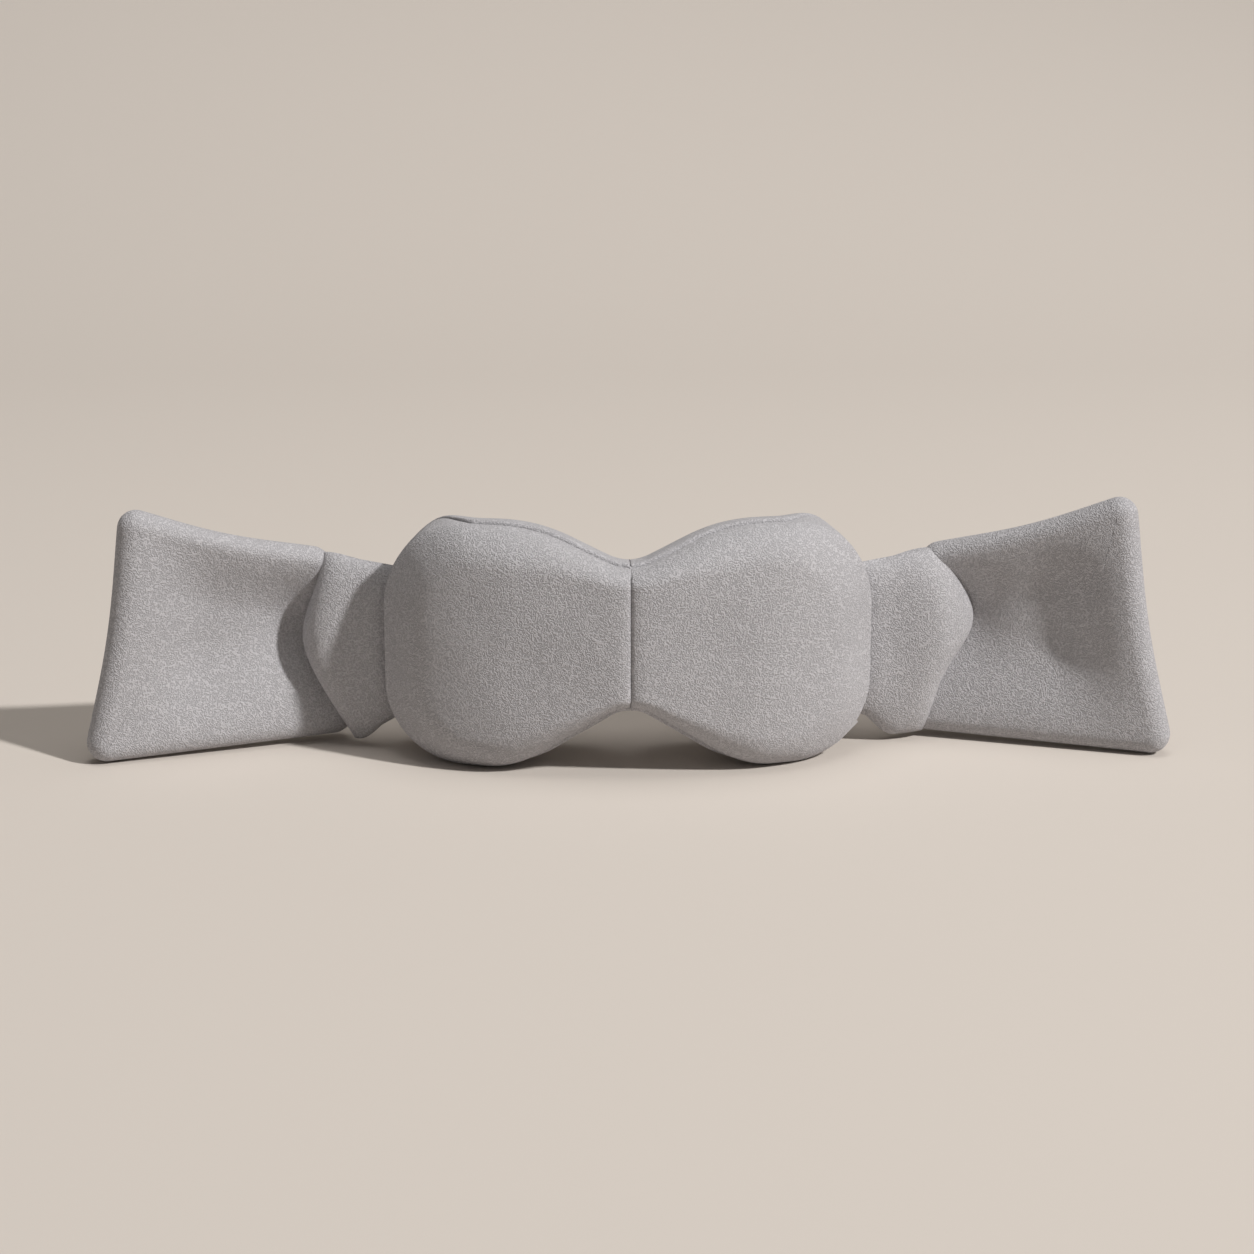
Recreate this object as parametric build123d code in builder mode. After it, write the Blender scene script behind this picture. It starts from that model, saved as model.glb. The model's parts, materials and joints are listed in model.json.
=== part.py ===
"""Plush eye massager mask: two padded eye lobes, two necks and two flared wings.

Frame: millimetres, +X to the right as seen from the front, +Y from the front panels towards the
wearer's face, +Z up. The mask stands on its lower edge, and the origin is the middle of its footprint.
"""
import os
from math import atan2, cos, degrees, hypot, radians, sin, tan

from build123d import *

# ---------------------------------------------------------------- driving dimensions (mm)
Y_SHIFT = -9.745           # brings the middle of the whole depth to y = 0
SWEEP = radians(9)        # each lobe lies back from the centre seam by this angle

# eye lobe: outline in its own plane (along the lobe, up), and its depth
LOBE_LENGTH = 111.6
LOBE_HEIGHT = 112.0
LOBE_DEPTH = 60.0
DIP_HEIGHT = 90.7         # corner of the top edge over the centre seam
DIP_REACH = 43.0
ARCH_HEIGHT = 28.6        # corner of the nose arch under the centre seam
ARCH_REACH = 46.0
DIP_RADIUS = 22.0
CREST_RADIUS = 88.0
SHOULDER_RADIUS = 38.0
CHEEK_RADIUS = 36.0
BROW_RADIUS = 58.0
ARCH_RADIUS = 13.0
FRONT_ROUND = 24.0        # rounding of the front edge
REAR_ROUND = 10.0
COVER_WALL = 2.5          # plush and its backing
LINER_GAP = 0.3           # between a cover and the foam inside it
SEAM_DEPTH = -16.0        # where the front cover meets the rear cover (+ is towards the front)

# centre fold
SEAM_GAP = 0.4            # half the gap between the two lobes at the centre seam
HINGE_SETBACK = 9.0       # fold axis behind the front face
RELIEF_ANGLE = radians(19)  # each lobe's inner wall leans away from the nose
POCKET_REACH = 17.0       # room round the bridge strip, from the centre seam out
POCKET_FRONT = 4.2
POCKET_BACK = 2.6
POCKET_CLEARANCE = 2.0
STRIP_LENGTH = 28.0
STRIP_HEIGHT = 22.0
STRIP_THICK = 1.2
STRIP_Z = 54.0
RIBBON_HEIGHT = 8.0
RIBBON_Z = 72.0

# eye hollow, on the face side
EYE_ALONG = 58.0
EYE_UP = 58.0
EYE_HALF_WIDTH = 30.0
EYE_HALF_HEIGHT = 23.0

# core tray inside each lobe
TRAY_ALONG = 58.0
TRAY_UP = 56.0
TRAY_LENGTH = 80.0
TRAY_HEIGHT = 60.0
TRAY_CORNER = 8.0
TRAY_FRONT = 2.0
TRAY_BACK = -12.0
TRAY_WALL = 1.8
SCREW_SPREAD = (66.0, 46.0)
SCREW_RADIUS = 0.8

# vibration motor
MOTOR_ALONG = 24.0
MOTOR_UP = 44.0
MOTOR_DEPTH = -5.0
MOTOR_RADIUS = 3.5
MOTOR_LENGTH = 14.0
SHAFT_RADIUS = 0.5
WEIGHT_RADIUS = 4.2
WEIGHT_LENGTH = 4.5

# control housing in the lower outer corner of the right lobe
CONTROL_ANGLE = radians(45)
CONTROL_SIZE = (14.0, 22.0, 14.0)
CONTROL_SHIFT = -4.7      # along the lobe's depth
CONTROL_SINK = 0.7        # the flat face lies this far inside the round corner
BUTTON_AT = -0.4
BUTTON_RADIUS = 4.0
LIGHT_AT = -5.9
PORT_AT = -10.2

# neck between lobe and wing
NECK_HALF = 11.0
NECK_GAP = 0.6
NECK_DEPTH = -14.0        # where the neck's axis stands along the lobe's side
NECK_LOW = (16.0, 4.0)    # bottom edge at the lobe and at the crease
NECK_HIGH = (88.0, 90.0)
NECK_ROUND = 5.0
NECK_WALL = 1.8
CREASE = (144.0, 42.0)    # wing hinge in plan, before the shift

# wing
WING_TOE = radians(18.8)  # the outer end comes forward by this angle
WING_THICK = 15.0
WING_INNER = -7.0
WING_LOW = (2.5, 0.3)
WING_HIGH = (91.0, 120.0)
WING_REACH = (108.5, 86.5)  # outer corner along the wing, at the bottom and at the top
WING_CORNER = 9.0
WING_EDGE = 6.8
WING_WALL = 1.5


# ---------------------------------------------------------------- planes and placing
def lobe_plane(depth):
    """Plane across the right lobe: x along the lobe, y up, facing the front at this depth."""
    return Plane(
        origin=(0, Y_SHIFT, 0),
        x_dir=(cos(SWEEP), sin(SWEEP), 0),
        z_dir=(sin(SWEEP), -cos(SWEEP), 0),
    ).offset(depth)


def lobe_point(along, up, depth):
    """A point given along, up and through the right lobe."""
    return lobe_plane(0).from_local_coords(Vector(along, up, depth))


def lobe_dir(along, up, depth):
    """A direction given along, up and through the right lobe."""
    return lobe_point(along, up, depth) - lobe_point(0, 0, 0)


def upright_plane(at, angle):
    """Upright plane through a plan point, running outward at an angle back from +X."""
    return Plane(
        origin=(at.X, at.Y, 0),
        x_dir=(cos(angle), sin(angle), 0),
        z_dir=(sin(angle), -cos(angle), 0),
    )


HALF_DEPTH = LOBE_DEPTH / 2
FOLD_Y = Y_SHIFT - HALF_DEPTH * cos(SWEEP) + HINGE_SETBACK
SHOULDER = lobe_point(LOBE_LENGTH + NECK_HALF + NECK_GAP, 0, NECK_DEPTH)
CREASE_POINT = Vector(CREASE[0], CREASE[1] + Y_SHIFT, 0)
NECK_RUN = CREASE_POINT - SHOULDER
NECK_ANGLE = atan2(NECK_RUN.Y, NECK_RUN.X)
NECK_LENGTH = hypot(NECK_RUN.X, NECK_RUN.Y)
CONTROL_PLANE = Plane(
    origin=lobe_point(
        LOBE_LENGTH - CHEEK_RADIUS + (CHEEK_RADIUS - CONTROL_SINK) * cos(CONTROL_ANGLE),
        CHEEK_RADIUS - (CHEEK_RADIUS - CONTROL_SINK) * sin(CONTROL_ANGLE),
        0,
    ),
    x_dir=lobe_dir(sin(CONTROL_ANGLE), cos(CONTROL_ANGLE), 0),
    z_dir=lobe_dir(cos(CONTROL_ANGLE), -sin(CONTROL_ANGLE), 0),
)


def write(part, name):
    """Write one finished piece under its own name."""
    part.label = name
    export_step(part, f"parts/{name}.step")


def write_left(part, name):
    """Write the left-hand twin of a right-hand piece."""
    with BuildPart() as twin:
        mirror(part, about=Plane.YZ)
    write(twin.part, "left_" + name)


def write_pair(part, name):
    """Write a right-hand piece and its left-hand twin."""
    write(part, "right_" + name)
    write_left(part, name)


# ---------------------------------------------------------------- shared blanks
def nose_relief(inset):
    """Space on the wearer's nose side of the right lobe's inner wall, and all beyond the seam."""
    wall = SEAM_GAP + inset
    front = FOLD_Y - HINGE_SETBACK - 2
    back = FOLD_Y + LOBE_DEPTH + 10
    with BuildPart() as relief:
        with BuildSketch(Plane.XY.offset(-10)):
            with BuildLine():
                Polyline(
                    (wall + 1.4, front),
                    (wall, FOLD_Y),
                    (wall + (back - FOLD_Y) * tan(RELIEF_ANGLE), back),
                    (-160, back),
                    (-160, front - 40),
                    (wall + 1.4, front - 40),
                    close=True,
                )
            make_face()
        extrude(amount=LOBE_HEIGHT + 20)
    return relief.part


def lobe_blank(inset):
    """The right lobe's body, smaller than its outside by the inset all round."""
    corners = [
        (0, DIP_HEIGHT),
        (DIP_REACH, LOBE_HEIGHT),
        (LOBE_LENGTH, LOBE_HEIGHT),
        (LOBE_LENGTH, 0),
        (ARCH_REACH, 0),
        (0, ARCH_HEIGHT),
        (-ARCH_REACH, 0),
        (-LOBE_LENGTH, 0),
        (-LOBE_LENGTH, LOBE_HEIGHT),
        (-DIP_REACH, LOBE_HEIGHT),
    ]
    side = [CREST_RADIUS, SHOULDER_RADIUS, CHEEK_RADIUS, BROW_RADIUS]
    radii = [DIP_RADIUS] + side + [ARCH_RADIUS] + side[::-1]
    with BuildPart() as blank:
        with BuildSketch(lobe_plane(inset - HALF_DEPTH)):
            with BuildLine():
                FilletPolyline(corners, radius=radii, close=True)
            make_face()
            if inset > 0:
                offset(amount=-inset)
        extrude(amount=LOBE_DEPTH - 2 * inset)
        ends = blank.faces().filter_by(lobe_plane(0)).sort_by(Axis.Y)
        rear_edges = ends[-1].edges()
        front_edges = ends[0].edges()
        fillet(front_edges, FRONT_ROUND - inset)
        fillet(rear_edges, REAR_ROUND - inset)
        add(nose_relief(inset), mode=Mode.SUBTRACT)
    return blank.part


def tray_block(grow, back, front):
    """Rounded block on the core tray's outline, grown all round, between two depths."""
    with BuildPart() as block:
        with BuildSketch(lobe_plane(back)):
            with Locations((TRAY_ALONG, TRAY_UP)):
                RectangleRounded(TRAY_LENGTH + 2 * grow, TRAY_HEIGHT + 2 * grow, TRAY_CORNER + grow)
        extrude(amount=front - back)
    return block.part


def eye_column(half_width, half_height, back, front):
    """Oval column on the eye's axis between two depths."""
    with BuildPart() as column:
        with BuildSketch(lobe_plane(back)):
            with Locations((EYE_ALONG, EYE_UP)):
                Ellipse(half_width, half_height)
        extrude(amount=front - back)
    return column.part


def control_block(grow):
    """Block that the control housing fills, grown on its four sides and its inner end."""
    width, length, depth = CONTROL_SIZE
    with BuildPart() as block:
        with BuildSketch(CONTROL_PLANE.offset(-depth - grow)):
            with Locations((0, CONTROL_SHIFT)):
                Rectangle(width + 2 * grow, length + 2 * grow)
        extrude(amount=depth + grow + (6 if grow > 0 else 0))
    return block.part


def strip_pocket():
    """Pocket at the centre seam that leaves the bridge strip room to tip as the mask folds."""
    front, back = FOLD_Y - POCKET_FRONT, FOLD_Y + POCKET_BACK
    bottom = STRIP_Z - STRIP_HEIGHT / 2 - POCKET_CLEARANCE
    with BuildPart() as pocket:
        with BuildSketch(Plane.XY.offset(bottom)):
            with BuildLine():
                Polyline((-1, front), (POCKET_REACH, front), (POCKET_REACH, back), (-1, back), close=True)
            make_face()
        extrude(amount=RIBBON_Z + RIBBON_HEIGHT / 2 + POCKET_CLEARANCE - bottom)
    return pocket.part


def neck_blank(inset):
    """The right neck: round about its hinge at the lobe, flat at the crease, taller there."""
    end = NECK_LENGTH - WING_THICK / 2 - 0.5
    half = NECK_HALF - inset
    with BuildPart() as blank:
        with BuildSketch(upright_plane(SHOULDER, NECK_ANGLE).offset(-NECK_HALF - 1)):
            with BuildLine():
                Polyline(
                    (-NECK_HALF, NECK_LOW[0] + inset),
                    (end - inset, NECK_LOW[1] + inset),
                    (end - inset, NECK_HIGH[1] - inset),
                    (-NECK_HALF, NECK_HIGH[0] - inset),
                    close=True,
                )
            make_face()
        extrude(amount=2 * NECK_HALF + 2)
        with BuildSketch(
            Plane(origin=SHOULDER, x_dir=(cos(NECK_ANGLE), sin(NECK_ANGLE), 0), z_dir=(0, 0, 1))
        ):
            with BuildLine():
                Line((0, half), (end - inset, half))
                Line((end - inset, half), (end - inset, -half))
                Line((end - inset, -half), (0, -half))
                CenterArc((0, 0), half, 90, 180)
            make_face()
        extrude(amount=LOBE_HEIGHT, mode=Mode.INTERSECT)
        rims = blank.faces().sort_by(Axis.Z)
        fillet(rims[-1].edges() + rims[0].edges(), NECK_ROUND - inset)
    return blank.part


def wing_blank(inset):
    """The right wing: a flared pad, rounded all along its edge, smaller by the inset."""
    corners = [
        (WING_INNER, WING_LOW[0]),
        (WING_REACH[0], WING_LOW[1]),
        (WING_REACH[1], WING_HIGH[1]),
        (WING_INNER, WING_HIGH[0]),
    ]
    thick = WING_THICK - 2 * inset
    with BuildPart() as blank:
        with BuildSketch(upright_plane(CREASE_POINT, -WING_TOE).offset(-thick / 2)):
            with BuildLine():
                FilletPolyline(corners, radius=WING_CORNER, close=True)
            make_face()
            if inset > 0:
                offset(amount=-inset)
        extrude(amount=thick)
        faces = blank.faces().filter_by(GeomType.PLANE).sort_by(SortBy.AREA)
        fillet(faces[-1].edges() + faces[-2].edges(), WING_EDGE - inset)
    return blank.part


os.makedirs("parts", exist_ok=True)

lobe_outside = lobe_blank(0)
lobe_lining = lobe_blank(COVER_WALL)
foam_body = lobe_blank(COVER_WALL + LINER_GAP)
pocket = strip_pocket()
control_space = control_block(0.2)

# ---------------------------------------------------------------- covers of the lobes
with BuildPart() as cover_shell:
    add(lobe_outside)
    add(lobe_lining, mode=Mode.SUBTRACT)
    add(pocket, mode=Mode.SUBTRACT)

with BuildPart() as front_cover:
    add(cover_shell.part)
    split(bisect_by=lobe_plane(SEAM_DEPTH), keep=Keep.TOP)

with BuildPart() as right_front_cover:
    add(front_cover.part)
    add(control_space, mode=Mode.SUBTRACT)

with BuildPart() as rear_cover:
    add(cover_shell.part)
    split(bisect_by=lobe_plane(SEAM_DEPTH), keep=Keep.BOTTOM)
    add(eye_column(EYE_HALF_WIDTH, EYE_HALF_HEIGHT, -HALF_DEPTH - 1, SEAM_DEPTH), mode=Mode.SUBTRACT)

write(right_front_cover.part, "right_front_cover")
write_left(front_cover.part, "front_cover")
write_pair(rear_cover.part, "rear_cover")

# ---------------------------------------------------------------- foam of the lobes
with BuildPart() as front_foam:
    add(foam_body)
    split(bisect_by=lobe_plane(TRAY_BACK), keep=Keep.TOP)
    add(tray_block(LINER_GAP, TRAY_BACK - 1, TRAY_FRONT + LINER_GAP), mode=Mode.SUBTRACT)
    add(pocket, mode=Mode.SUBTRACT)

with BuildPart() as right_front_foam:
    add(front_foam.part)
    add(control_space, mode=Mode.SUBTRACT)

with BuildPart() as eye_cushion:
    add(foam_body)
    split(bisect_by=lobe_plane(TRAY_BACK - LINER_GAP), keep=Keep.BOTTOM)
    add(eye_column(EYE_HALF_WIDTH, EYE_HALF_HEIGHT, -HALF_DEPTH, TRAY_BACK), mode=Mode.SUBTRACT)

with BuildPart() as right_eye_cushion:
    add(eye_cushion.part)
    add(control_space, mode=Mode.SUBTRACT)

write(right_front_foam.part, "right_front_foam")
write_left(front_foam.part, "front_foam")
write(right_eye_cushion.part, "right_eye_cushion")
write_left(eye_cushion.part, "eye_cushion")

# ---------------------------------------------------------------- eye hollow: pad and heater
FILM_BACK = TRAY_BACK - 0.8
PAD_BACK = TRAY_BACK - 3.0

with BuildPart() as heater_film:
    add(eye_column(EYE_HALF_WIDTH - 2, EYE_HALF_HEIGHT - 2, FILM_BACK, TRAY_BACK - 0.1))

with BuildPart() as eye_pad:
    add(eye_column(EYE_HALF_WIDTH - 0.6, EYE_HALF_HEIGHT - 0.6, PAD_BACK, FILM_BACK - 0.1))
    fillet(eye_pad.faces().sort_by(Axis.Y)[-1].edges(), 1.0)

write_pair(heater_film.part, "heater_film")
write_pair(eye_pad.part, "eye_pad")

# ---------------------------------------------------------------- core tray, lid and screws
LID_FRONT = TRAY_BACK + TRAY_WALL
FLOOR = TRAY_FRONT - TRAY_WALL
BOSS_RADIUS = 2.5
BOSS_HOLE = SCREW_RADIUS + 0.05
SCREW_LENGTH = 7.0
HEAD_RADIUS = 1.7
HEAD_HEIGHT = 1.0
BOARD_SIZE = (50.0, 34.0)
BOARD_AT = (70.0, 56.0)
BOARD_BACK = -3.2
BOARD_THICK = 1.2
BOARD_POSTS = (42.0, 26.0)

with BuildPart() as core_tray:
    add(tray_block(0, LID_FRONT, TRAY_FRONT))
    add(tray_block(-TRAY_WALL, LID_FRONT, FLOOR), mode=Mode.SUBTRACT)
    with BuildSketch(lobe_plane(FLOOR)):
        with Locations((TRAY_ALONG, TRAY_UP)):
            with GridLocations(*SCREW_SPREAD, 2, 2):
                Circle(BOSS_RADIUS)
    extrude(amount=LID_FRONT - FLOOR)
    with BuildSketch(lobe_plane(LID_FRONT)):
        with Locations((TRAY_ALONG, TRAY_UP)):
            with GridLocations(*SCREW_SPREAD, 2, 2):
                Circle(BOSS_HOLE)
    extrude(amount=SCREW_LENGTH, mode=Mode.SUBTRACT)

with BuildPart() as right_core_tray:
    add(core_tray.part)
    with BuildSketch(lobe_plane(FLOOR)):
        with Locations(BOARD_AT):
            with GridLocations(*BOARD_POSTS, 2, 2):
                Circle(1.5)
    extrude(amount=BOARD_BACK + BOARD_THICK - FLOOR)

with BuildPart() as core_lid:
    add(tray_block(0, TRAY_BACK, LID_FRONT))
    with BuildSketch(lobe_plane(TRAY_BACK)):
        with Locations((TRAY_ALONG, TRAY_UP)):
            with GridLocations(*SCREW_SPREAD, 2, 2):
                Circle(SCREW_RADIUS + 0.2)
        with Locations((EYE_ALONG, EYE_UP)):
            Circle(1.6)
    extrude(amount=TRAY_WALL, mode=Mode.SUBTRACT)
    with BuildSketch(lobe_plane(TRAY_BACK)):
        with Locations((TRAY_ALONG, TRAY_UP)):
            with GridLocations(*SCREW_SPREAD, 2, 2):
                Circle(HEAD_RADIUS + 0.2)
    extrude(amount=HEAD_HEIGHT, mode=Mode.SUBTRACT)

with BuildPart() as case_screws:
    with BuildSketch(lobe_plane(TRAY_BACK)):
        with Locations((TRAY_ALONG, TRAY_UP)):
            with GridLocations(*SCREW_SPREAD, 2, 2):
                Circle(HEAD_RADIUS)
    extrude(amount=HEAD_HEIGHT)
    with BuildSketch(lobe_plane(TRAY_BACK + HEAD_HEIGHT)):
        with Locations((TRAY_ALONG, TRAY_UP)):
            with GridLocations(*SCREW_SPREAD, 2, 2):
                Circle(SCREW_RADIUS)
    extrude(amount=SCREW_LENGTH)

with BuildPart() as thermistor:
    with BuildSketch(lobe_plane(TRAY_BACK)):
        with Locations((EYE_ALONG, EYE_UP)):
            Circle(1.3)
    extrude(amount=TRAY_WALL)

write(right_core_tray.part, "right_core_tray")
write_left(core_tray.part, "core_tray")
write_pair(core_lid.part, "core_lid")
write_pair(case_screws.part, "case_screws")
write_pair(thermistor.part, "thermistor")

# ---------------------------------------------------------------- vibration motor
BOOT_SIZE = 9.4
BOOT_LENGTH = 9.0
SHAFT_REACH = 6.0
SHAFT_BURIED = 5.0


def motor_plane(along):
    """Plane across the motor's axis at a distance along the lobe from the can's inner end."""
    return Plane(
        origin=lobe_point(MOTOR_ALONG + along, MOTOR_UP, MOTOR_DEPTH),
        x_dir=(0, 0, 1),
        z_dir=lobe_dir(1, 0, 0),
    )


with BuildPart() as motor_can:
    with BuildSketch(motor_plane(0)):
        Circle(MOTOR_RADIUS)
    extrude(amount=MOTOR_LENGTH)
    fillet(motor_can.edges().filter_by(GeomType.CIRCLE), 0.4)
    with BuildSketch(motor_plane(MOTOR_LENGTH)):
        Circle(SHAFT_RADIUS + 0.05)
    extrude(amount=-SHAFT_BURIED - 0.3, mode=Mode.SUBTRACT)

with BuildPart() as motor_boot:
    with BuildSketch(motor_plane(2)):
        RectangleRounded(BOOT_SIZE, BOOT_SIZE, 2)
        Circle(MOTOR_RADIUS, mode=Mode.SUBTRACT)
    extrude(amount=BOOT_LENGTH)

with BuildPart() as motor_shaft:
    with BuildSketch(motor_plane(MOTOR_LENGTH - SHAFT_BURIED)):
        Circle(SHAFT_RADIUS)
    extrude(amount=SHAFT_BURIED + SHAFT_REACH)

with BuildPart() as motor_weight:
    with BuildSketch(motor_plane(MOTOR_LENGTH + 1)):
        Circle(WEIGHT_RADIUS)
        with Locations((WEIGHT_RADIUS / 2 + 1, 0)):
            Rectangle(WEIGHT_RADIUS, 2 * WEIGHT_RADIUS, mode=Mode.SUBTRACT)
        Circle(SHAFT_RADIUS, mode=Mode.SUBTRACT)
    extrude(amount=WEIGHT_LENGTH)

write_pair(motor_can.part, "motor_can")
write_pair(motor_boot.part, "motor_boot")
write_pair(motor_shaft.part, "motor_shaft")
write_pair(motor_weight.part, "motor_weight")

# ---------------------------------------------------------------- battery and control board
BATTERY_SIZE = (34.0, 26.0, 6.0)

with BuildPart() as battery_cell:
    with BuildSketch(lobe_plane(MOTOR_DEPTH - BATTERY_SIZE[2] / 2)):
        with Locations((TRAY_ALONG + 18, TRAY_UP + 6)):
            RectangleRounded(BATTERY_SIZE[0], BATTERY_SIZE[1], 2)
    extrude(amount=BATTERY_SIZE[2])
    fillet(battery_cell.edges().group_by(Axis.Y)[-1], 0.8)

with BuildPart() as control_board:
    with BuildSketch(lobe_plane(BOARD_BACK)):
        with Locations(BOARD_AT):
            RectangleRounded(*BOARD_SIZE, 2)
    extrude(amount=BOARD_THICK)

with BuildPart() as board_parts:
    with BuildSketch(lobe_plane(BOARD_BACK)):
        with Locations(BOARD_AT):
            with Locations((-8, 4)):
                Rectangle(7, 7)
            with Locations((6, 6), (6, -3)):
                Rectangle(4, 4)
            with Locations((16, 8)):
                Circle(3)
            with Locations((-18, -8), (16, -8)):
                Rectangle(8, 5)
    extrude(amount=-1.6)

write_left(battery_cell.part, "battery_cell")
write(control_board.part, "control_board")
write(board_parts.part, "board_parts")

# ---------------------------------------------------------------- control housing and its parts
FACE_THICK = 3.0
HOUSING_WALL = 1.5
COVER_RECESS = (12.4, 6.6, 1.3)
PORT_SIZE = (9.0, 3.2)
PORT_WALL = 0.35
PORT_CORNER = 1.55
PORT_DEPTH = 6.0
TONGUE_SIZE = (6.6, 0.7, 4.5)
BUTTON_FLANGE = 4.8
BUTTON_PROUD = 0.4
BUTTON_BACK = -4.5
SWITCH_TOP = -6.1
SWITCH_BACK = -9.6
BOARD_ROOM = 0.3

width, length, depth = CONTROL_SIZE
inner_width = width - 2 * HOUSING_WALL
inner_length = length - 2 * HOUSING_WALL

with BuildPart() as control_housing:
    add(control_block(0))
    with BuildSketch(CONTROL_PLANE.offset(-depth)):
        with Locations((0, CONTROL_SHIFT)):
            Rectangle(inner_width, inner_length)
    extrude(amount=depth - FACE_THICK, mode=Mode.SUBTRACT)
    with BuildSketch(CONTROL_PLANE):
        with Locations((0, BUTTON_AT)):
            Circle(BUTTON_RADIUS + 0.1)
        with Locations((0, LIGHT_AT)):
            Circle(0.8)
        with Locations((0, PORT_AT)):
            RectangleRounded(PORT_SIZE[0] + 0.1, PORT_SIZE[1] + 0.1, PORT_CORNER)
    extrude(amount=-FACE_THICK, mode=Mode.SUBTRACT)
    with BuildSketch(CONTROL_PLANE):
        with Locations((0, PORT_AT)):
            Rectangle(COVER_RECESS[0], COVER_RECESS[1])
    extrude(amount=-COVER_RECESS[2], mode=Mode.SUBTRACT)

with BuildPart() as power_button:
    with BuildSketch(CONTROL_PLANE.offset(BUTTON_BACK)):
        with Locations((0, BUTTON_AT)):
            Circle(BUTTON_FLANGE)
    extrude(amount=-BUTTON_BACK - FACE_THICK - 0.05)
    with BuildSketch(CONTROL_PLANE.offset(BUTTON_BACK)):
        with Locations((0, BUTTON_AT)):
            Circle(BUTTON_RADIUS)
    extrude(amount=BUTTON_PROUD - BUTTON_BACK)
    fillet(power_button.edges().filter_by(GeomType.CIRCLE).sort_by(Axis.Z)[0], 0.3)

with BuildPart() as status_light:
    with BuildSketch(CONTROL_PLANE):
        with Locations((0, LIGHT_AT)):
            Circle(0.8)
    extrude(amount=-FACE_THICK)

with BuildPart() as button_board:
    with BuildSketch(CONTROL_PLANE.offset(SWITCH_BACK)):
        with Locations((0, CONTROL_SHIFT)):
            Rectangle(inner_width - BOARD_ROOM, inner_length - BOARD_ROOM)
    extrude(amount=-1.0)

with BuildPart() as tact_switch:
    with BuildSketch(CONTROL_PLANE.offset(SWITCH_BACK)):
        with Locations((0, BUTTON_AT)):
            Rectangle(6, 6)
    extrude(amount=SWITCH_TOP - SWITCH_BACK)
    with BuildSketch(CONTROL_PLANE.offset(SWITCH_TOP)):
        with Locations((0, BUTTON_AT)):
            Circle(1.7)
    extrude(amount=0.7)

mouth = (PORT_SIZE[0] - 2 * PORT_WALL, PORT_SIZE[1] - 2 * PORT_WALL)
with BuildPart() as usb_port:
    with BuildSketch(CONTROL_PLANE.offset(SWITCH_BACK)):
        with Locations((0, PORT_AT)):
            RectangleRounded(PORT_SIZE[0], PORT_SIZE[1], PORT_CORNER)
    extrude(amount=-COVER_RECESS[2] - SWITCH_BACK)
    with BuildSketch(CONTROL_PLANE.offset(-COVER_RECESS[2])):
        with Locations((0, PORT_AT)):
            RectangleRounded(mouth[0], mouth[1], PORT_CORNER - PORT_WALL)
    extrude(amount=-PORT_DEPTH, mode=Mode.SUBTRACT)
    with BuildSketch(CONTROL_PLANE.offset(-COVER_RECESS[2] - PORT_DEPTH)):
        with Locations((0, PORT_AT)):
            Rectangle(TONGUE_SIZE[0], TONGUE_SIZE[1])
    extrude(amount=TONGUE_SIZE[2])

with BuildPart() as port_cover:
    with BuildSketch(CONTROL_PLANE.offset(-0.1)):
        with Locations((0, PORT_AT)):
            Rectangle(COVER_RECESS[0] - 0.4, COVER_RECESS[1] - 0.4)
    extrude(amount=0.15 - COVER_RECESS[2])

write(control_housing.part, "control_housing")
write(power_button.part, "power_button")
write(status_light.part, "status_light")
write(button_board.part, "button_board")
write(tact_switch.part, "tact_switch")
write(usb_port.part, "usb_port")
write(port_cover.part, "port_cover")

# ---------------------------------------------------------------- bridge between the lobes
GUSSET_ANGLE = radians(6)
GUSSET_FRONT = 8.0
GUSSET_BACK = 50.0
GUSSET_LOW = 50.0
GUSSET_HIGH = 84.0

with BuildPart() as bridge_strip:
    with BuildSketch(Plane.XY.offset(STRIP_Z - STRIP_HEIGHT / 2)):
        with Locations((0, FOLD_Y)):
            Rectangle(STRIP_LENGTH, STRIP_THICK)
    extrude(amount=STRIP_HEIGHT)

with BuildPart() as bridge_ribbon:
    with BuildSketch(Plane.XY.offset(RIBBON_Z - RIBBON_HEIGHT / 2)):
        with Locations((0, FOLD_Y)):
            Rectangle(STRIP_LENGTH, STRIP_THICK / 2)
    extrude(amount=RIBBON_HEIGHT)

with BuildPart() as nose_gusset:
    with BuildSketch(Plane.XY.offset(GUSSET_LOW)):
        with BuildLine():
            Polyline(
                (-GUSSET_FRONT * tan(GUSSET_ANGLE), FOLD_Y + GUSSET_FRONT),
                (GUSSET_FRONT * tan(GUSSET_ANGLE), FOLD_Y + GUSSET_FRONT),
                (GUSSET_BACK * tan(GUSSET_ANGLE), FOLD_Y + GUSSET_BACK),
                (-GUSSET_BACK * tan(GUSSET_ANGLE), FOLD_Y + GUSSET_BACK),
                close=True,
            )
        make_face()
    extrude(amount=GUSSET_HIGH - GUSSET_LOW)

write(bridge_strip.part, "bridge_strip")
write(bridge_ribbon.part, "bridge_ribbon")
write(nose_gusset.part, "nose_gusset")

# ---------------------------------------------------------------- necks
WEBBING_THICK = 1.2
WEBBING_HEIGHT = 40.0
WEBBING_GAP = 0.1
NECK_MIDDLE = (NECK_LOW[0] + NECK_HIGH[0]) / 2


def webbing_block(grow):
    """Elastic band through the neck's padding, grown on all sides."""
    with BuildPart() as block:
        with BuildSketch(upright_plane(SHOULDER, NECK_ANGLE).offset(-WEBBING_THICK / 2 - grow)):
            with Locations((NECK_LENGTH / 2 - NECK_HALF / 2, NECK_MIDDLE)):
                Rectangle(NECK_LENGTH - NECK_HALF + 2 * grow, WEBBING_HEIGHT + 2 * grow)
        extrude(amount=WEBBING_THICK + 2 * grow)
    return block.part


with BuildPart() as neck_cover:
    add(neck_blank(0))
    add(neck_blank(NECK_WALL), mode=Mode.SUBTRACT)

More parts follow.
